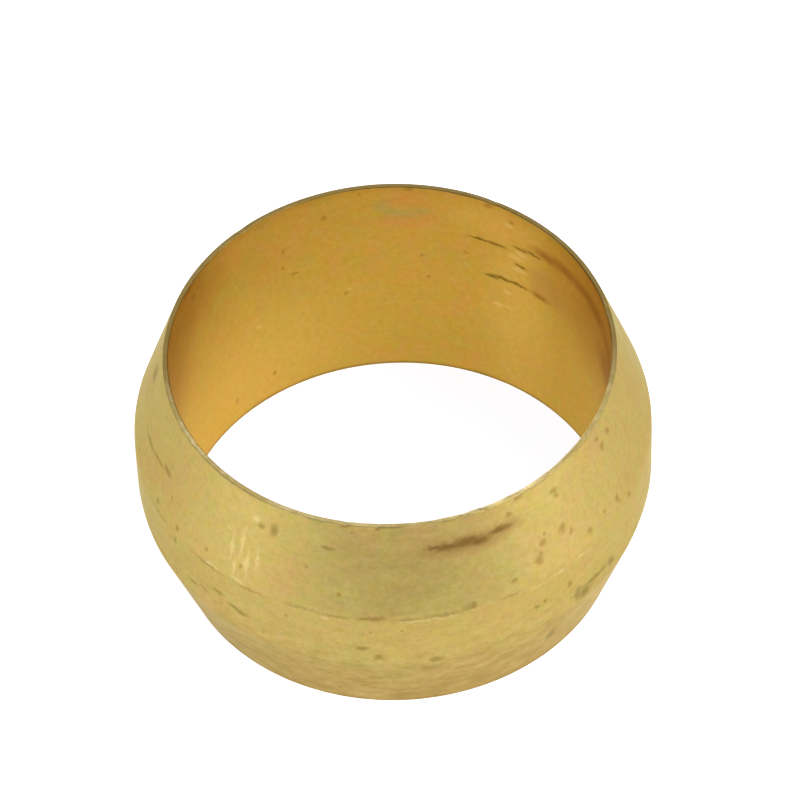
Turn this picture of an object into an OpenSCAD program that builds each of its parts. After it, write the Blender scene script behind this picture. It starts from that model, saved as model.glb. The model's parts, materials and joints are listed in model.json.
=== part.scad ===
// Brass compression ring for a tube with an outside diameter of 12.7 mm.
// It is one turned piece: a straight bore, a plain land round the middle of the outside,
// and a long shallow cone on each side of the land that thins out to a narrow rim.
// All lengths are in millimetres. The ring stands on its lower rim, centred on the Z axis.

/* [Tube and bore] */
// Outside diameter of the tube that the ring slides on
tube_diameter = 12.7; // [6:0.1:30]
// Gap between the tube and the bore, all round
tube_gap = 0.05; // [0.01:0.01:0.2]

/* [Length] */
// Length of the plain land round the middle
land_length = 2; // [0.6:0.1:6]
// Length of each cone along the axis, from the land to the rim
cone_length = 2.975; // [1.5:0.025:8]

/* [Wall] */
// Wall at the land, where the ring is thickest
land_wall = 1.16; // [0.6:0.02:2.5]
// Wall at each rim, where the ring is thinnest
rim_wall = 0.15; // [0.1:0.01:0.4]

/* [Edges] */
// Radius that blends each cone into the land
shoulder_radius = 1.3; // [0.2:0.1:1.5]
// Edge break on the inner and the outer edge of each rim
edge_break = 0.03; // [0.01:0.005:0.04]

/* [Smoothness] */
// Number of sides that a full turn is drawn with
turn_sides = 180; // [48:12:360]
// Number of short lines that each shoulder's arc is drawn with
shoulder_sides = 8; // [2:1:16]

/* [Hidden] */

brass_colour = [0.80, 0.70, 0.38];

bore_radius = tube_diameter / 2 + tube_gap;
rim_radius = bore_radius + rim_wall;
land_radius = bore_radius + land_wall;
ring_length = land_length + 2 * cone_length;

// Slope of the cone, as the angle between its side and the axis
cone_angle = atan((land_radius - rim_radius) / cone_length);
// How far the shoulder reaches along the land and along the cone, kept under half the land
shoulder_reach = min(shoulder_radius * tan(cone_angle / 2), land_length * 0.49);
arc_radius = shoulder_reach / tan(cone_angle / 2);

// Points are a radius from the axis and a height above the lower rim.
// The lower shoulder is an arc that is tangent to the cone and to the land.
arc_centre = [land_radius - arc_radius, cone_length + shoulder_reach];
lower_shoulder = [
    for (side = [0 : shoulder_sides])
        let (turn = cone_angle * (side / shoulder_sides - 1))
            arc_centre + arc_radius * [cos(turn), sin(turn)]
];

// Outline of the wall's lower half, from the bore, round the lower rim and up to the land
lower_outline = concat(
    [
        [bore_radius, edge_break],
        [bore_radius + edge_break, 0],
        [rim_radius - edge_break, 0],
        [rim_radius + edge_break * tan(cone_angle), edge_break]
    ],
    lower_shoulder
);

// The upper half mirrors it, and runs on from the land back down to the bore
last_point = len(lower_outline) - 1;
upper_outline = [
    for (i = [last_point : -1 : 0])
        [lower_outline[i].x, ring_length - lower_outline[i].y]
];

module compression_ring() {
    color(brass_colour)
        rotate_extrude($fn = turn_sides)
            polygon(concat(lower_outline, upper_outline));
}

compression_ring();
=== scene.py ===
import json
import math

import bpy
import numpy as np
from mathutils import Matrix, Vector


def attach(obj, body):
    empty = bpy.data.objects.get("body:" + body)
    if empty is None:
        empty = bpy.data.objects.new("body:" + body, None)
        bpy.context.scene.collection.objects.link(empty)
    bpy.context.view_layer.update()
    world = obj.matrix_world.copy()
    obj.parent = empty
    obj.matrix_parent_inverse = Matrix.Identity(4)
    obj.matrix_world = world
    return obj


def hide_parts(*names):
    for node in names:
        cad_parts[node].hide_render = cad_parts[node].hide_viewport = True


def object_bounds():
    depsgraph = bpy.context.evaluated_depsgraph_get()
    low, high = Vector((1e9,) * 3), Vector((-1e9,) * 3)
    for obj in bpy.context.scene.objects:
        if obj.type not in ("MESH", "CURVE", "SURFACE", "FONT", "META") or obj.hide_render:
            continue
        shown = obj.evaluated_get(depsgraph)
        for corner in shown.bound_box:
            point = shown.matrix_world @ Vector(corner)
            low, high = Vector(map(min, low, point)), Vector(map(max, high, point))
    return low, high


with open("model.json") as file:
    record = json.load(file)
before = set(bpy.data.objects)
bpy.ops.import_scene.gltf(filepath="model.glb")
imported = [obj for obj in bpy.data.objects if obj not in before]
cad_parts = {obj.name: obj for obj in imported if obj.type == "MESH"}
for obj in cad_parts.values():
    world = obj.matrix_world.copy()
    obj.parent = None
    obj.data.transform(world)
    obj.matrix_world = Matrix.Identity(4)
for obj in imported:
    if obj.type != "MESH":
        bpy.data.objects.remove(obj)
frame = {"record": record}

cad_low, cad_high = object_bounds()

# Camera
# A long lens looks down on the ring from the front at about 50 degrees, as in the photograph.
# It leans a little clockwise, so that the ring's right side stands higher in the picture.

MM = 0.001
SENSOR_MM = 36.0
LENS_MM = 292.2
CAMERA_DISTANCE_MM = 190.2
CAMERA_ELEVATION = math.radians(49.87)
CAMERA_LEAN = math.radians(2.67)
PICTURE_PX = 800
# Where the middle of the ring lies in the picture, in pixels right of and below its centre
RING_RIGHT_PX = -6.2
RING_BELOW_PX = 40.24

ring_middle = (cad_low + cad_high) / 2
to_camera = Vector((0, -math.cos(CAMERA_ELEVATION), math.sin(CAMERA_ELEVATION)))
level_right = Vector((1, 0, 0))
level_up = level_right.cross(-to_camera)
picture_right = math.cos(CAMERA_LEAN) * level_right - math.sin(CAMERA_LEAN) * level_up
picture_up = picture_right.cross(-to_camera)

lens_px = LENS_MM / SENSOR_MM * PICTURE_PX
look = -to_camera - RING_RIGHT_PX / lens_px * picture_right + RING_BELOW_PX / lens_px * picture_up
look.normalize()
right = look.cross(picture_up).normalized()
up = right.cross(look)

camera_data = bpy.data.cameras.new("camera")
camera_data.sensor_width = SENSOR_MM
camera_data.lens = LENS_MM
camera_data.clip_start = 10 * MM
camera_data.clip_end = 5.0
camera = bpy.data.objects.new("camera", camera_data)
camera.matrix_world = Matrix((
    (right.x, up.x, -look.x, 0),
    (right.y, up.y, -look.y, 0),
    (right.z, up.z, -look.z, 0),
    (0, 0, 0, 1),
))
camera.location = ring_middle + to_camera * CAMERA_DISTANCE_MM * MM
bpy.context.scene.collection.objects.link(camera)
bpy.context.scene.camera = camera

# Table and light
# The ring stands on a matt white table top that is lit from below, as small parts are
# photographed, so it throws hardly any shadow. Soft boxes stand low on both sides of the camera
# and high behind the ring, and the space round the camera itself is dark.

bpy.context.scene.view_settings.view_transform = "Standard"


def linear(hex_colour):
    """An sRGB hex colour as linear red, green, blue and 1."""
    channels = [int(hex_colour[i:i + 2], 16) / 255 for i in (1, 3, 5)]
    return [c / 12.92 if c <= 0.04045 else ((c + 0.055) / 1.055) ** 2.4 for c in channels] + [1]


TABLE_RADIUS_MM = 2000
TABLE_SIDES = 96
TABLE_GLOW = 0.95
table_edge = [
    (
        TABLE_RADIUS_MM * MM * math.cos(2 * math.pi * i / TABLE_SIDES),
        TABLE_RADIUS_MM * MM * math.sin(2 * math.pi * i / TABLE_SIDES),
        0,
    )
    for i in range(TABLE_SIDES)
]
table_mesh = bpy.data.meshes.new("table_top")
table_mesh.from_pydata(table_edge, [], [list(range(TABLE_SIDES))])
table = bpy.data.objects.new("table_top", table_mesh)
bpy.context.scene.collection.objects.link(table)

opal = bpy.data.materials.new("opal_acrylic_table")
opal.use_nodes = True
opal_shader = opal.node_tree.nodes["Principled BSDF"]
opal_shader.inputs["Base Color"].default_value = linear("#e6e6e6")
opal_shader.inputs["Roughness"].default_value = 0.9
opal_shader.inputs["Emission Color"].default_value = linear("#f6faff")
opal_shader.inputs["Emission Strength"].default_value = TABLE_GLOW
table_mesh.materials.append(opal)

room = bpy.data.worlds.new("dark_room")
room.use_nodes = True
room.node_tree.nodes["Background"].inputs["Color"].default_value = linear("#ffffff")
room.node_tree.nodes["Background"].inputs["Strength"].default_value = 0.06
bpy.context.scene.world = room


def add_lamp(name, azimuth, elevation, width_mm, height_mm, strength):
    """A soft box that faces the ring. Azimuth 0 is the camera's side, and 90 is the right."""
    distance_mm = 250
    a = math.radians(azimuth)
    e = math.radians(elevation)
    way = Vector((math.sin(a) * math.cos(e), -math.cos(a) * math.cos(e), math.sin(e)))
    data = bpy.data.lights.new(name, "AREA")
    data.shape = "RECTANGLE"
    data.size = width_mm * MM
    data.size_y = height_mm * MM
    data.energy = strength * math.pi * data.size * data.size_y
    lamp = bpy.data.objects.new(name, data)
    lamp.location = ring_middle + way * distance_mm * MM
    lamp.rotation_mode = "QUATERNION"
    lamp.rotation_quaternion = (-way).to_track_quat("-Z", "Y")
    lamp.visible_camera = False
    bpy.context.scene.collection.objects.link(lamp)
    return lamp


add_lamp("left_soft_box", -60, 8, 130, 130, 3.9)
add_lamp("right_soft_box", 60, 21, 130, 250, 3.6)
add_lamp("high_right_soft_box", 120, 65, 130, 130, 3.0)
add_lamp("high_back_soft_box", 180, 60, 130, 130, 1.0)
add_lamp("low_back_soft_box", -163, 20, 150, 125, 3.0)

# Compression ring, shape
# One turned piece of brass: a bore that the tube slides into, and an outside cut to a plain land
# between two long cones that thin out to narrow rims. Years in a drawer have dented and nicked it.

record = frame["record"]
bore_mount = next(m for m in record["mounts"] if m["name"] == "bore")
bore_radius = bore_mount["dims"]["r_mm"]
ring_length = (cad_high.z - cad_low.z) / MM
LAND_WALL = 1.16
RIM_WALL = 0.15
CONE_LENGTH = 2.975
SHOULDER_RADIUS = 1.3
OUTER_EDGE_RADIUS = 0.02
INNER_EDGE_RADIUS = 0.04
AROUND = 720

land_radius = bore_radius + LAND_WALL
rim_radius = bore_radius + RIM_WALL
cone_angle = math.atan((land_radius - rim_radius) / CONE_LENGTH)
shoulder_reach = SHOULDER_RADIUS * math.tan(cone_angle / 2)
rim_middle = (bore_radius + rim_radius) / 2
land_top = ring_length - CONE_LENGTH


def line(start, end, count):
    """Points from start up to but not including end."""
    return [
        (start[0] + (end[0] - start[0]) * i / count, start[1] + (end[1] - start[1]) * i / count)
        for i in range(count)
    ]


def arc(centre, radius, start_deg, end_deg, count):
    """Points on an arc from start_deg up to but not including end_deg."""
    steps = [math.radians(start_deg + (end_deg - start_deg) * i / count) for i in range(count)]
    return [(centre[0] + radius * math.cos(t), centre[1] + radius * math.sin(t)) for t in steps]


# A point of the section is a radius and a height in millimetres. The section runs from the middle
# of the lower rim up the outside, over the upper rim and back down the bore.
slope = math.degrees(cone_angle)
lower_edge = (
    rim_radius - OUTER_EDGE_RADIUS * (1 - math.sin(cone_angle)) / math.cos(cone_angle),
    OUTER_EDGE_RADIUS,
)
shoulder = (land_radius - SHOULDER_RADIUS, CONE_LENGTH + shoulder_reach)
cone_start = (
    lower_edge[0] + OUTER_EDGE_RADIUS * math.cos(cone_angle),
    lower_edge[1] - OUTER_EDGE_RADIUS * math.sin(cone_angle),
)
cone_end = (
    shoulder[0] + SHOULDER_RADIUS * math.cos(cone_angle),
    shoulder[1] - SHOULDER_RADIUS * math.sin(cone_angle),
)


def lower_half(cone_rows, shoulder_rows, land_rows):
    """The outside from the middle of the lower rim up to the middle of the land."""
    return (
        line((rim_middle, 0), (lower_edge[0], 0), 2)
        + arc(lower_edge, OUTER_EDGE_RADIUS, -90, -slope, 4)
        + line(cone_start, cone_end, cone_rows)
        + arc(shoulder, SHOULDER_RADIUS, -slope, 0, shoulder_rows)
        + line((land_radius, shoulder[1]), (land_radius, ring_length / 2), land_rows)
        + [(land_radius, ring_length / 2)]
    )


upper_half = [(r, ring_length - z) for r, z in reversed(lower_half(38, 6, 12))]
outside = lower_half(12, 5, 10)[:-1] + upper_half[:-1]
top_inner = (bore_radius + INNER_EDGE_RADIUS, ring_length - INNER_EDGE_RADIUS)
low_inner = (bore_radius + INNER_EDGE_RADIUS, INNER_EDGE_RADIUS)
inside = (
    line((rim_middle, ring_length), (top_inner[0], ring_length), 2)
    + arc(top_inner, INNER_EDGE_RADIUS, 90, 180, 5)
    + line((bore_radius, top_inner[1]), (bore_radius, low_inner[1]), 24)
    + arc(low_inner, INNER_EDGE_RADIUS, 180, 270, 5)
    + line((low_inner[0], 0), (rim_middle, 0), 2)
)
section = np.array(outside + inside)
rows = len(section)

# Every point has the degrees round the ring from the front, to the right, and its place in mm
turn = np.arange(AROUND) * 360 / AROUND - 180
around = np.repeat(turn[None, :], rows, 0)
radius = np.repeat(section[:, 0][:, None], AROUND, 1)
height = np.repeat(section[:, 1][:, None], AROUND, 1)

# The way out of the surface at each row of the section
along = np.roll(section, -1, 0) - np.roll(section, 1, 0)
along /= np.linalg.norm(along, axis=1)[:, None]
outward = np.stack([along[:, 1], -along[:, 0]], 1)

# Marks that are cut into the outside: degrees round, height, half length, half height, depth
DINGS = [
    (-39.0, 3.75, 0.30, 0.07, 0.020),
    (-45.0, 4.05, 0.10, 0.06, 0.010),
    (-50.0, 3.60, 0.35, 0.06, 0.012),
    (-9.0, 3.65, 0.17, 0.07, 0.020),
    (43.0, 3.30, 0.14, 0.20, 0.015),
    (54.0, 3.40, 0.12, 0.12, 0.012),
    (37.0, 1.60, 0.12, 0.30, 0.012),
    (35.0, 6.10, 0.10, 0.10, 0.012),
    (33.0, 5.65, 0.10, 0.11, 0.015),
    (41.0, 6.10, 0.10, 0.14, 0.010),
    (42.0, 7.25, 0.10, 0.12, 0.012),
    (61.0, 7.20, 0.10, 0.10, 0.012),
    (48.0, 5.45, 0.08, 0.07, 0.010),
    (59.0, 5.45, 0.08, 0.10, 0.010),
    (-67.0, 6.35, 0.20, 0.08, 0.012),
    (-92.0, 7.20, 0.20, 0.20, 0.015),
    (-33.0, 7.15, 0.16, 0.12, 0.010),
    (16.0, 7.12, 0.60, 0.10, 0.010),
    (-150.0, 6.40, 0.40, 0.08, 0.015),
    (128.0, 5.60, 0.15, 0.20, 0.015),
    (165.0, 3.90, 0.45, 0.07, 0.018),
    (-125.0, 3.40, 0.18, 0.12, 0.014),
    (105.0, 2.20, 0.30, 0.08, 0.014),
]
# Nicks in the upper rim: degrees round, half length in degrees, depth
NICKS = [
    (-61.0, 1.2, 0.020),
    (-13.0, 1.0, 0.030),
    (-5.0, 0.8, 0.015),
    (9.0, 1.2, 0.020),
    (17.0, 1.0, 0.030),
    (22.0, 0.7, 0.030),
    (-84.0, 1.5, 0.025),
    (101.0, 1.8, 0.025),
    (150.0, 1.2, 0.020),
    (-140.0, 2.0, 0.025),
]
chance = np.random.default_rng(7)
sunk = np.zeros((rows, AROUND))

# Hand polishing and rolling about have left the metal gently uneven, by a few thousandths
WAVES = 40
WAVE_HEIGHT = 0.0011
for wave in range(WAVES):
    turns = chance.integers(-24, 25)
    per_mm = chance.uniform(-3.0, 3.0)
    start = chance.uniform(0, 2 * math.pi)
    sunk += WAVE_HEIGHT * np.sin(np.radians(around) * turns + height * per_mm + start)

is_outside = (np.arange(rows) < len(outside))[:, None]
MM_PER_DEGREE = math.radians(land_radius)
for degrees, level, half_length, half_height, depth in DINGS:
    across = (around - degrees) * MM_PER_DEGREE / half_length
    upward = (height - level) / half_height
    sunk += is_outside * depth * np.exp(-(across ** 2 + upward ** 2))

sunk = np.maximum(sunk + 0.005, 0)

# The tool left a faint, uneven step where it turned from the upper cone onto the land
STEP_DEPTH = 0.006
STEP_HALF_HEIGHT = 0.08
theta = np.radians(around)
step_level = land_top - 0.01 + 0.03 * np.sin(7 * theta) + 0.02 * np.sin(17 * theta + 1)
step_depth = STEP_DEPTH * (0.55 + 0.25 * np.sin(5 * theta + 0.6) + 0.2 * np.sin(23 * theta))
sunk += is_outside * step_depth * np.exp(-((height - step_level) / STEP_HALF_HEIGHT) ** 2)
upright = np.abs(outward[:, 0]) > 0.9
radius -= sunk * (outward[:, 0] * upright)[:, None]

# A hand tool took the burr off the rim, and left it leaning inwards on the right of the front
LEANING_RIM = [
    (6.0, 4.0, 0.5),
    (15.0, 3.0, 0.8),
    (25.5, 3.2, 1.0),
    (35.0, 3.6, 1.0),
    (43.0, 4.0, 0.6),
]
LEAN = math.tan(math.radians(16))
lean = sum(share * np.exp(-((around - degrees) / half) ** 2) for degrees, half, share in LEANING_RIM)
at_rim = (section[:, 1] > ring_length - 1.5 * INNER_EDGE_RADIUS)[:, None]
height -= at_rim * LEAN * np.clip(lean, 0, 1) * np.maximum(rim_radius - OUTER_EDGE_RADIUS - radius, 0)

# The thin upper rim is a little out of true and has small nicks
NICK_REACH = 0.12
RIM_WAVER = 0.004
rim_drop = RIM_WAVER * (1 + np.sin(9 * theta + 2) * np.sin(4 * theta))
for degrees, half_length, depth in NICKS:
    rim_drop += depth * np.exp(-((around - degrees) / half_length) ** 2)
near_top = np.clip(1 - (ring_length - height) / NICK_REACH, 0, 1)
height -= rim_drop * near_top

points = np.stack([radius * np.sin(theta), -radius * np.cos(theta), height], -1) * MM

faces = []
for j in range(rows):
    above = (j + 1) % rows
    for i in range(AROUND):
        nxt = (i + 1) % AROUND
        faces.append((j * AROUND + i, j * AROUND + nxt, above * AROUND + nxt, above * AROUND + i))

ring_mesh = bpy.data.meshes.new("brass_ring")
ring_mesh.from_pydata(points.reshape(-1, 3).tolist(), [], faces)
ring_mesh.polygons.foreach_set("use_smooth", [True] * len(faces))
ring = bpy.data.objects.new("brass_ring", ring_mesh)
bpy.context.scene.collection.objects.link(ring)

# The surface is laid out flat in four strips round the ring: the outside below and above the
# middle of its land, and the bore above and below its middle
STRIP_GAP = 0.004
strip_ends = [0, len(lower_half(12, 5, 10)) - 1, len(outside), len(outside) + 19, rows]
lengths = np.linalg.norm(np.roll(section, -1, 0) - section, axis=1)
flat_low = np.zeros(rows)
flat_high = np.zeros(rows)
for strip in range(4):
    first, last = strip_ends[strip], strip_ends[strip + 1]
    reach = np.concatenate([[0], np.cumsum(lengths[first:last])])
    reach = (strip + STRIP_GAP * 2 + reach / reach[-1] * (1 - 4 * STRIP_GAP)) / 4
    flat_low[first:last] = reach[:-1]
    flat_high[first:last] = reach[1:]
across = STRIP_GAP + np.arange(AROUND + 1) / AROUND * (1 - 2 * STRIP_GAP)
corners = np.zeros((rows, AROUND, 4, 2))
corners[..., 0] = np.stack([across[:-1], across[1:], across[1:], across[:-1]], -1)
corners[..., :2, 1] = flat_low[:, None, None]
corners[..., 2:, 1] = flat_high[:, None, None]
ring_mesh.uv_layers.new(name="OFBake").data.foreach_set("uv", corners.ravel())

# Compression ring, outside finish
# Turned brass that has been tumbled to take its burrs off, and has dulled since. To the eye it is
# satin, straw-coloured and cloudy, with pinkish and greenish patches, brown stains and small pits.


def add_node(tree, kind, inputs=None, **settings):
    """Adds a node with its settings. An input is a value, or the socket that feeds it."""
    node = tree.nodes.new(kind)
    for name, value in settings.items():
        setattr(node, name, value)
    for name, value in (inputs or {}).items():
        if isinstance(value, bpy.types.NodeSocket):
            tree.links.new(value, node.inputs[name])
        else:
            node.inputs[name].default_value = value
    return node


def place_on_ring(tree, radius_mm, front):
    """Where a point lies: in space in mm, and flat as mm round the ring and mm up.
    Front is -1 to count from the camera's side, and 1 to count from the far side."""
    spot = add_node(tree, "ShaderNodeTexCoord")
    in_mm = add_node(tree, "ShaderNodeVectorMath", {0: spot.outputs["Object"], "Scale": 1 / MM}, operation="SCALE")
    parts = add_node(tree, "ShaderNodeSeparateXYZ", {0: in_mm.outputs[0]})
    depth = add_node(tree, "ShaderNodeMath", {0: parts.outputs["Y"], 1: front}, operation="MULTIPLY")
    angle = add_node(tree, "ShaderNodeMath", {0: parts.outputs["X"], 1: depth.outputs[0]}, operation="ARCTAN2")
    round_mm = add_node(tree, "ShaderNodeMath", {0: angle.outputs[0], 1: radius_mm}, operation="MULTIPLY")
    flat = add_node(tree, "ShaderNodeCombineXYZ", {"X": round_mm.outputs[0], "Y": parts.outputs["Z"]})
    return in_mm.outputs[0], flat.outputs[0]


def wandering(tree, flat, in_mm, per_mm, reach):
    """The flat place moved about by noise, so that what is drawn with it has ragged edges."""
    noise = add_node(tree, "ShaderNodeTexNoise", {"Vector": in_mm, "Scale": per_mm, "Detail": 3})
    shift = add_node(
        tree, "ShaderNodeVectorMath",
        {0: noise.outputs["Color"], 1: (2 * reach, 2 * reach, 0), 2: (-reach, -reach, 0)},
        operation="MULTIPLY_ADD",
    )
    return add_node(tree, "ShaderNodeVectorMath", {0: flat, 1: shift.outputs[0]}).outputs[0]


def marks_mask(tree, flat, marks, radius_mm, core):
    """1 in the middle of every mark and 0 well outside it. A mark is degrees round, height,
    and the half length and half height in mm at which it has faded to half. Core is the share
    of its size that hasn't faded."""
    nearest = None
    for degrees, level, half_length, half_height in marks:
        middle = math.radians(degrees) * radius_mm
        size = (1 / half_length, 1 / half_height, 0)
        offset = (-middle / half_length, -level / half_height, 0)
        away = add_node(tree, "ShaderNodeVectorMath", {0: flat, 1: size, 2: offset}, operation="MULTIPLY_ADD")
        reach = add_node(tree, "ShaderNodeVectorMath", {0: away.outputs[0]}, operation="LENGTH").outputs["Value"]
        if nearest is not None:
            reach = add_node(tree, "ShaderNodeMath", {0: nearest, 1: reach}, operation="MINIMUM").outputs[0]
        nearest = reach
    mask = add_node(
        tree, "ShaderNodeMapRange",
        {"Value": nearest, "From Min": 2.0 - core, "From Max": core, "To Min": 0.0, "To Max": 1.0},
        interpolation_type="SMOOTHSTEP",
    )
    return mask.outputs[0]


def tinted(tree, colour, tint, share, amount):
    """The colour moved towards the tint, by the share times the amount."""
    factor = add_node(tree, "ShaderNodeMath", {0: share, 1: amount}, operation="MULTIPLY")
    mixed = add_node(
        tree, "ShaderNodeMix", {0: factor.outputs[0], 6: colour, 7: linear(tint)}, data_type="RGBA",
    )
    return mixed.outputs[2]


def blotched(tree, colour, noise, low, high, amount):
    """The colour moved towards one tint where the noise is low, and another where it is high."""
    under = add_node(tree, "ShaderNodeMapRange", {"Value": noise, "From Min": 0.5, "From Max": 0.32})
    over = add_node(tree, "ShaderNodeMapRange", {"Value": noise, "From Min": 0.5, "From Max": 0.68})
    colour = tinted(tree, colour, low, under.outputs[0], amount)
    return tinted(tree, colour, high, over.outputs[0], amount)


STRAW_BRASS = "#b9a05c"
# Places on the outside: degrees round, height, half length, half height
BROWN_STAIN = [
    (12.0, 7.12, 0.45, 0.10),
    (16.5, 7.15, 0.50, 0.13),
    (19.5, 7.08, 0.35, 0.12),
    (25.0, 7.17, 0.42, 0.08),
    (9.0, 7.15, 0.30, 0.05),
]
BROWN_HALO = [
    (14.0, 7.10, 1.20, 0.26),
    (20.0, 7.00, 0.80, 0.22),
    (25.0, 7.15, 0.70, 0.18),
]
RUST_SPOTS = [
    (35.0, 6.10, 0.12, 0.11),
    (36.0, 6.35, 0.06, 0.07),
    (33.0, 5.65, 0.13, 0.14),
    (33.8, 5.85, 0.08, 0.08),
    (41.0, 6.15, 0.14, 0.16),
    (43.0, 5.90, 0.09, 0.10),
    (26.0, 5.42, 0.11, 0.05),
    (48.0, 5.45, 0.10, 0.07),
    (59.0, 5.45, 0.07, 0.14),
    (63.0, 5.10, 0.07, 0.09),
    (42.0, 7.20, 0.10, 0.08),
    (41.3, 7.42, 0.12, 0.08),
    (61.0, 7.20, 0.12, 0.10),
    (65.0, 7.35, 0.08, 0.08),
    (60.0, 7.55, 0.07, 0.07),
    (28.0, 7.50, 0.12, 0.06),
    (31.5, 7.85, 0.16, 0.07),
    (-13.0, 7.90, 0.16, 0.06),
    (-5.0, 7.90, 0.08, 0.05),
    (-38.0, 5.60, 0.06, 0.06),
    (-22.0, 6.40, 0.06, 0.06),
    (-14.0, 5.70, 0.06, 0.06),
    (-48.0, 5.40, 0.07, 0.06),
    (-67.0, 5.20, 0.10, 0.07),
    (-58.0, 5.20, 0.08, 0.06),
    (16.0, 5.13, 0.08, 0.10),
    (-5.5, 5.05, 0.22, 0.06),
    (-8.0, 4.98, 0.20, 0.05),
    (40.0, 4.10, 0.10, 0.12),
]
GREEN_DASHES = [
    (-39.5, 3.78, 0.22, 0.09),
    (-37.5, 3.70, 0.20, 0.07),
    (-44.0, 4.05, 0.22, 0.08),
    (-48.5, 3.70, 0.16, 0.06),
    (-52.5, 3.58, 0.22, 0.06),
    (-9.0, 3.65, 0.16, 0.09),
    (-5.5, 3.30, 0.12, 0.10),
    (7.0, 3.05, 0.20, 0.12),
    (31.0, 3.95, 0.08, 0.08),
    (33.0, 4.05, 0.07, 0.08),
    (-34.5, 7.15, 0.12, 0.08),
    (-31.0, 7.17, 0.14, 0.18),
    (-17.0, 7.12, 0.22, 0.06),
    (-67.0, 6.35, 0.24, 0.08),
    (-72.0, 6.20, 0.40, 0.05),
    (-79.0, 6.10, 0.50, 0.05),
    (-58.0, 4.70, 0.06, 0.14),
]
GREY_PATCHES = [
    (42.5, 3.35, 0.14, 0.24),
    (44.5, 3.20, 0.22, 0.20),
    (54.0, 3.40, 0.14, 0.14),
    (37.0, 1.70, 0.16, 0.34),
    (-92.0, 7.20, 0.25, 0.25),
    (48.0, 3.45, 0.60, 0.08),
]
# Painted highlights: small glints and short streaks in the bright patch on the left of the upper cone, and a bright
# line just under the upper corner of the land
PAINTED_GLINTS = [
    (-39.0, 6.40, 0.08, 0.08),
    (-37.0, 5.75, 0.10, 0.12),
    (-41.0, 6.05, 0.07, 0.07),
    (-38.5, 5.10, 0.20, 0.05),
    (-45.5, 5.05, 0.25, 0.04),
    (-34.0, 5.95, 0.06, 0.06),
    (-43.0, 6.55, 0.06, 0.05),
    (-36.0, 7.30, 0.12, 0.10),
    (3.0, 4.88, 0.35, 0.025),
    (8.0, 4.88, 0.45, 0.025),
    (-17.0, 4.83, 0.12, 0.05),
    (31.0, 4.86, 0.20, 0.03),
    (37.0, 4.92, 0.25, 0.03),
    (44.0, 4.95, 0.30, 0.03),
    (-38.6, 6.30, 0.06, 0.40),
    (-36.6, 5.75, 0.06, 0.40),
    (-41.2, 6.00, 0.05, 0.30),
    (-34.2, 6.05, 0.05, 0.30),
    (-39.8, 5.45, 0.05, 0.25),
]
CORNER_LINE = [
    (-22.0, 5.02, 0.50, 0.05),
    (-15.0, 4.98, 0.45, 0.05),
    (-7.0, 5.00, 0.40, 0.07),
    (1.0, 4.97, 0.35, 0.04),
    (9.0, 5.00, 0.60, 0.06),
    (15.0, 5.08, 0.20, 0.08),
    (-47.0, 4.96, 0.60, 0.05),
    (-35.0, 4.97, 0.45, 0.05),
    (24.5, 5.00, 0.30, 0.04),
    (-66.0, 4.97, 0.60, 0.04),
]
# Painted highlight: the land is made brighter and yellower on the right of the front
LAND_PAINTED_HIGHLIGHT = [
    (6.0, 4.15, 1.40, 0.80),
    (20.0, 4.20, 2.20, 0.75),
    (36.0, 4.30, 1.60, 0.70),
]
# Painted shade: the front of the upper cone is made darker and a little olive, where it reflects the dark space round
# the camera
FRONT_PAINTED_SHADE = [
    (2.0, 6.20, 2.20, 1.60),
]

outside_brass = bpy.data.materials.new("tumbled_turned_brass")
outside_brass.use_nodes = True
tree = outside_brass.node_tree
shader = tree.nodes["Principled BSDF"]
in_mm, flat = place_on_ring(tree, land_radius, -1)
ragged = wandering(tree, flat, in_mm, 7.0, 0.11)
cloudy = wandering(tree, flat, in_mm, 0.8, 0.6)

clouds = add_node(tree, "ShaderNodeTexNoise", {"Vector": in_mm, "Scale": 0.75, "Detail": 4, "Roughness": 0.6})
blotches = add_node(tree, "ShaderNodeTexNoise", {"Vector": in_mm, "Scale": 2.8, "Detail": 3, "Roughness": 0.6})
blotch = add_node(tree, "ShaderNodeSeparateColor", {0: blotches.outputs["Color"]})
colour = blotched(tree, linear(STRAW_BRASS), clouds.outputs["Fac"], "#aea25a", "#c29c62", 0.5)
colour = blotched(tree, colour, blotch.outputs["Red"], "#a3ab58", "#ce9a66", 0.2)
colour = blotched(tree, colour, blotch.outputs["Green"], "#bda644", "#bb9e70", 0.25)
# Painted highlight on the land
colour = tinted(tree, colour, "#c9ab4f", marks_mask(tree, cloudy, LAND_PAINTED_HIGHLIGHT, land_radius, 0.1), 0.2)
# Painted shade on the front of the upper cone
colour = tinted(tree, colour, "#a3904f", marks_mask(tree, cloudy, FRONT_PAINTED_SHADE, land_radius, 0.2), 0.2)

low = add_node(tree, "ShaderNodeSeparateXYZ", {0: flat})
# Painted shade: the lower cone is made darker and warmer towards the bottom, against the light that the glowing table
# throws onto it
lower_cone_painted_shade = add_node(tree, "ShaderNodeMapRange", {"Value": low.outputs["Y"], "From Min": 3.2, "From Max": 1.0})
colour = tinted(tree, colour, "#b18f54", lower_cone_painted_shade.outputs[0], 0.6)
streaky = add_node(tree, "ShaderNodeVectorMath", {0: in_mm, 1: (1.3, 1.3, 3.0)}, operation="MULTIPLY")
smears = add_node(tree, "ShaderNodeTexNoise", {"Vector": streaky.outputs[0], "Scale": 1.0, "Detail": 4, "Roughness": 0.7})
smeared = blotched(tree, colour, smears.outputs["Fac"], "#92783c", "#cdb47c", 0.5)
low_share = add_node(tree, "ShaderNodeMapRange", {"Value": low.outputs["Y"], "From Min": 5.0, "From Max": 2.6})
colour = add_node(
    tree, "ShaderNodeMix", {0: low_share.outputs[0], 6: colour, 7: smeared}, data_type="RGBA",
).outputs[2]

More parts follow.
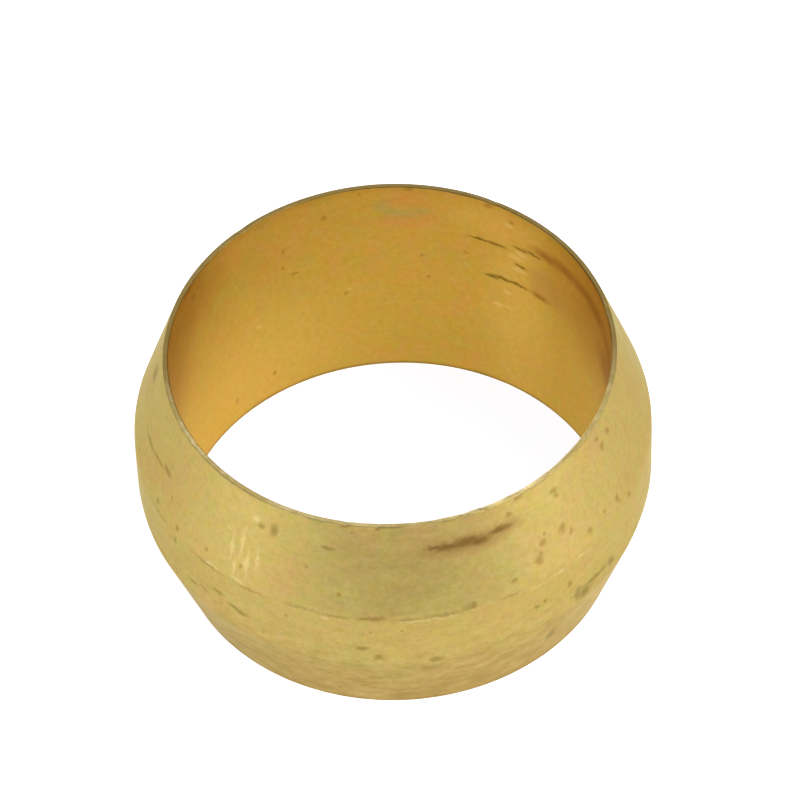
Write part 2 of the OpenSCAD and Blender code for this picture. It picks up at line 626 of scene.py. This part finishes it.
grain = add_node(tree, "ShaderNodeTexNoise", {"Vector": in_mm, "Scale": 5.5, "Detail": 3, "Roughness": 0.7})
colour = blotched(tree, colour, grain.outputs["Fac"], "#9a8346", "#cbb274", 0.22)

pits = add_node(tree, "ShaderNodeTexVoronoi", {"Vector": in_mm, "Scale": 1.1, "Randomness": 1.0})
pit_core = add_node(tree, "ShaderNodeMapRange", {"Value": pits.outputs["Distance"], "From Min": 0.09, "From Max": 0.03})
colour = tinted(tree, colour, "#8a7238", pit_core.outputs[0], 0.5)

colour = tinted(tree, colour, "#8f7a40", marks_mask(tree, ragged, CORNER_LINE, land_radius, 0.1), 0.6)
colour = tinted(tree, colour, "#9a7742", marks_mask(tree, ragged, BROWN_HALO, land_radius, 0.1), 0.6)
stain = marks_mask(tree, ragged, BROWN_STAIN, land_radius, 0.2)
colour = tinted(tree, colour, "#7b5829", stain, 0.8)
rust = marks_mask(tree, ragged, RUST_SPOTS, land_radius, 0.3)
colour = tinted(tree, colour, "#926e35", rust, 0.6)
dashes = marks_mask(tree, ragged, GREEN_DASHES, land_radius, 0.3)
colour = tinted(tree, colour, "#7d6a30", dashes, 0.6)
patches = marks_mask(tree, ragged, GREY_PATCHES, land_radius, 0.2)
colour = tinted(tree, colour, "#756636", patches, 0.6)
# Painted glints and highlights
colour = tinted(tree, colour, "#e0c88c", marks_mask(tree, ragged, PAINTED_GLINTS, land_radius, 0.1), 0.4)
# Painted contact shade: a thin dark line along the foot of the outside, where the ring stands on the table
foot_contact_shade = add_node(tree, "ShaderNodeMapRange", {"Value": low.outputs["Y"], "From Min": 0.16, "From Max": 0.04})
colour = tinted(tree, colour, "#8a6434", foot_contact_shade.outputs[0], 0.5)
tree.links.new(colour, shader.inputs["Base Color"])

shader.inputs["Metallic"].default_value = 1.0
shader.inputs["Specular Tint"].default_value = linear("#e7e2c7")
dullness = add_node(
    tree, "ShaderNodeMapRange",
    {"Value": clouds.outputs["Fac"], "From Min": 0.3, "From Max": 0.7, "To Min": 0.42, "To Max": 0.50},
)
tree.links.new(dullness.outputs[0], shader.inputs["Roughness"])

# Fine lines that the tool cut round the ring, almost tumbled away
lathe_place = add_node(
    tree, "ShaderNodeVectorMath", {0: in_mm, 1: (0.25, 0.25, 12.0)}, operation="MULTIPLY",
)
lathe_lines = add_node(tree, "ShaderNodeTexNoise", {"Vector": lathe_place.outputs[0], "Scale": 1.0, "Detail": 2})
lines_bump = add_node(
    tree, "ShaderNodeBump", {"Height": lathe_lines.outputs["Fac"], "Strength": 1.0, "Distance": 0.0012 * MM},
)
swell = add_node(tree, "ShaderNodeTexNoise", {"Vector": in_mm, "Scale": 1.6, "Detail": 2})
swell_bump = add_node(
    tree, "ShaderNodeBump",
    {"Height": swell.outputs["Fac"], "Strength": 1.0, "Distance": 0.03 * MM, "Normal": lines_bump.outputs[0]},
)
grain_bump = add_node(
    tree, "ShaderNodeBump",
    {"Height": grain.outputs["Fac"], "Strength": 1.0, "Distance": 0.006 * MM, "Normal": swell_bump.outputs[0]},
)
tree.links.new(grain_bump.outputs[0], shader.inputs["Normal"])

# Compression ring, bore finish
# The bore keeps more of the drawn tube's golden colour. To the eye it is smoother and deeper in tone than the outside,
# with a few dark scratches, and painted brown shade towards the rim at the sides.

GOLDEN_BRASS = "#c49b3c"
# Places in the bore: degrees round from the back, height, half length, half height
SCRATCHES = [
    (26.5, 6.22, 0.40, 0.045),
    (31.0, 6.22, 0.35, 0.060),
    (38.5, 6.47, 0.25, 0.040),
    (42.5, 6.56, 0.30, 0.055),
    (29.5, 4.72, 0.22, 0.060),
    (33.0, 4.80, 0.35, 0.070),
    (37.5, 4.84, 0.35, 0.060),
    (38.5, 5.72, 0.20, 0.050),
]
ROSY_PATCH = [
    (47.0, 5.55, 0.60, 0.50),
    (50.0, 5.20, 0.60, 0.40),
    (45.0, 5.10, 0.35, 0.35),
]
# Painted shade in dark brown: a band under the rim on the right of the bore and down its right side, with one small
# spot
RIGHT_BORE_PAINTED_SHADE = [
    (48.0, 6.85, 0.50, 0.18),
    (55.0, 6.95, 0.70, 0.20),
    (65.0, 6.95, 0.90, 0.22),
    (72.0, 6.85, 0.70, 0.28),
    (82.0, 6.50, 0.60, 0.40),
    (79.0, 5.30, 0.60, 0.60),
    (84.0, 5.90, 0.60, 0.80),
    (88.0, 4.40, 0.50, 1.20),
    (45.0, 4.85, 0.28, 0.10),
]
# Painted shade in a brown tone: the bore darkens towards the rim at both sides
BORE_SIDES_PAINTED_SHADE = [
    (72.0, 6.10, 2.10, 1.90),
    (92.0, 6.00, 2.40, 2.60),
    (-86.0, 6.40, 2.40, 2.40),
    (-68.0, 7.20, 1.60, 1.30),
]
BORE_DOTS = [
    (10.0, 4.97, 0.06, 0.08),
    (11.5, 4.05, 0.05, 0.08),
    (-11.0, 3.45, 0.05, 0.07),
    (-33.0, 1.00, 0.06, 0.08),
    (-46.5, 0.90, 0.06, 0.10),
    (-16.0, 7.00, 0.09, 0.09),
    (-28.0, 6.15, 0.05, 0.10),
    (-28.5, 5.45, 0.05, 0.07),
    (-25.0, 4.98, 0.10, 0.07),
    (7.0, 7.85, 0.14, 0.07),
    (29.0, 7.80, 0.14, 0.08),
    (22.0, 5.45, 0.07, 0.08),
    (-65.0, 7.85, 0.20, 0.08),
    (-62.0, 7.30, 0.10, 0.10),
    (-6.0, 7.70, 0.05, 0.07),
    (36.0, 7.50, 0.10, 0.05),
]
# Painted highlights: small bright glints in the bore
BORE_PAINTED_GLINTS = [
    (31.0, 3.55, 0.16, 0.07),
    (34.5, 3.60, 0.12, 0.05),
    (37.0, 6.00, 0.25, 0.08),
    (39.0, 6.25, 0.20, 0.08),
    (38.0, 5.50, 0.25, 0.06),
    (35.0, 7.30, 0.14, 0.08),
    (34.0, 4.25, 0.12, 0.06),
    (-37.0, 3.45, 0.10, 0.05),
    (-10.0, 3.60, 0.06, 0.04),
]
GREEN_CRESCENT = [
    (0.0, 7.10, 0.22, 0.20),
    (2.0, 6.88, 0.25, 0.16),
    (4.5, 6.76, 0.28, 0.15),
    (7.5, 6.78, 0.28, 0.15),
    (10.5, 6.95, 0.22, 0.15),
]
PINK_HALO = [
    (5.0, 6.45, 1.00, 0.22),
    (6.0, 7.45, 0.60, 0.30),
    (12.0, 6.65, 0.35, 0.20),
]
# Painted highlight: a broad brighter golden patch low on the left of the bore, a tall bright strip on its right and a
# patch near its top right
BORE_PAINTED_HIGHLIGHTS = [
    (-42.0, 1.60, 3.00, 2.40),
    (37.0, 3.80, 0.90, 3.60),
    (33.0, 7.10, 1.30, 0.80),
]

bore_brass = bpy.data.materials.new("drawn_brass_bore")
bore_brass.use_nodes = True
tree = bore_brass.node_tree
shader = tree.nodes["Principled BSDF"]
in_mm, flat = place_on_ring(tree, bore_radius, 1)
ragged = wandering(tree, flat, in_mm, 7.0, 0.08)
cloudy = wandering(tree, flat, in_mm, 0.6, 0.5)

clouds = add_node(tree, "ShaderNodeTexNoise", {"Vector": in_mm, "Scale": 0.8, "Detail": 4, "Roughness": 0.55})
blotches = add_node(tree, "ShaderNodeTexNoise", {"Vector": in_mm, "Scale": 2.6, "Detail": 3, "Roughness": 0.6})
blotch = add_node(tree, "ShaderNodeSeparateColor", {0: blotches.outputs["Color"]})
colour = blotched(tree, linear(GOLDEN_BRASS), clouds.outputs["Fac"], "#bba040", "#ce9444", 0.55)
colour = blotched(tree, colour, blotch.outputs["Red"], "#b2a43c", "#d99248", 0.25)
colour = blotched(tree, colour, blotch.outputs["Green"], "#c69c28", "#c29a56", 0.3)
# Painted highlights in the bore
colour = tinted(tree, colour, "#e0b75a", marks_mask(tree, cloudy, BORE_PAINTED_HIGHLIGHTS, bore_radius, 0.1), 0.4)
# Painted shade at the sides of the bore
colour = tinted(tree, colour, "#a87420", marks_mask(tree, cloudy, BORE_SIDES_PAINTED_SHADE, bore_radius, 0.2), 0.65)
colour = tinted(tree, colour, "#a89a56", marks_mask(tree, ragged, GREEN_CRESCENT, bore_radius, 0.1), 0.6)
colour = tinted(tree, colour, "#d08a4a", marks_mask(tree, ragged, PINK_HALO, bore_radius, 0.1), 0.5)

grain = add_node(tree, "ShaderNodeTexNoise", {"Vector": in_mm, "Scale": 5.5, "Detail": 3, "Roughness": 0.7})
colour = blotched(tree, colour, grain.outputs["Fac"], "#a8822e", "#dcb862", 0.16)

colour = tinted(tree, colour, "#b28540", marks_mask(tree, ragged, ROSY_PATCH, bore_radius, 0.5), 0.5)
# Painted shade along the right of the bore
colour = tinted(tree, colour, "#96611d", marks_mask(tree, ragged, RIGHT_BORE_PAINTED_SHADE, bore_radius, 0.1), 0.8)
dots = marks_mask(tree, ragged, BORE_DOTS, bore_radius, 0.3)
colour = tinted(tree, colour, "#8f5c20", dots, 0.45)
scratches = marks_mask(tree, ragged, SCRATCHES, bore_radius, 0.3)
colour = tinted(tree, colour, "#7d6017", scratches, 0.9)
# Painted glints in the bore
colour = tinted(tree, colour, "#efcf86", marks_mask(tree, ragged, BORE_PAINTED_GLINTS, bore_radius, 0.1), 0.35)
foot = add_node(tree, "ShaderNodeSeparateXYZ", {0: flat})
# Painted contact shade: a thin dark line at the foot of the bore, where the ring stands on the table
foot_contact_shade = add_node(tree, "ShaderNodeMapRange", {"Value": foot.outputs["Y"], "From Min": 0.16, "From Max": 0.04})
colour = tinted(tree, colour, "#7a5a24", foot_contact_shade.outputs[0], 0.7)
tree.links.new(colour, shader.inputs["Base Color"])

shader.inputs["Metallic"].default_value = 1.0
shader.inputs["Roughness"].default_value = 0.45
shader.inputs["Specular Tint"].default_value = linear("#f9e9c6")
swell = add_node(tree, "ShaderNodeTexNoise", {"Vector": in_mm, "Scale": 1.2, "Detail": 2})
swell_bump = add_node(
    tree, "ShaderNodeBump", {"Height": swell.outputs["Fac"], "Strength": 1.0, "Distance": 0.025 * MM},
)
grain_bump = add_node(
    tree, "ShaderNodeBump",
    {"Height": grain.outputs["Fac"], "Strength": 1.0, "Distance": 0.004 * MM, "Normal": swell_bump.outputs[0]},
)
tree.links.new(grain_bump.outputs[0], shader.inputs["Normal"])

# Compression ring, rims
# Each thin rim was faced off square, and rubbing has burnished it a little brighter than the rest. The back half of the
# upper rim is darkened brown with painted shade.

RIM_BRASS = "#dcc88c"
# Painted shade: the back half of the upper rim is made dark brown
# Degrees round from the back, height, half length, half height
RIM_BACK_PAINTED_SHADE = [
    (0.0, 7.95, 11.6, 4.0),
]
rim_brass = bpy.data.materials.new("burnished_brass_rim")
rim_brass.use_nodes = True
tree = rim_brass.node_tree
shader = tree.nodes["Principled BSDF"]
in_mm, flat = place_on_ring(tree, rim_middle, 1)
wear = add_node(tree, "ShaderNodeTexNoise", {"Vector": in_mm, "Scale": 1.8, "Detail": 4, "Roughness": 0.65})
worn = add_node(tree, "ShaderNodeMapRange", {"Value": wear.outputs["Fac"], "From Min": 0.42, "From Max": 0.62})
colour = tinted(tree, linear("#c4ae6c"), RIM_BRASS, worn.outputs[0], 1.0)
# Painted shade on the back half of the rim
colour = tinted(tree, colour, "#8a7036", marks_mask(tree, flat, RIM_BACK_PAINTED_SHADE, rim_middle, 0.85), 0.8)
tree.links.new(colour, shader.inputs["Base Color"])
shader.inputs["Metallic"].default_value = 1.0
shader.inputs["Roughness"].default_value = 0.45

for material in (outside_brass, bore_brass, rim_brass):
    ring_mesh.materials.append(material)
slot_of_row = np.zeros(rows, np.int32)
slot_of_row[len(outside):] = 1
flat_rim = np.abs(outward[:, 1]) > 0.5
slot_of_row[flat_rim] = 2
ring_mesh.polygons.foreach_set("material_index", np.repeat(slot_of_row, AROUND))

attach(ring, "root")
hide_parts("compression_ring")
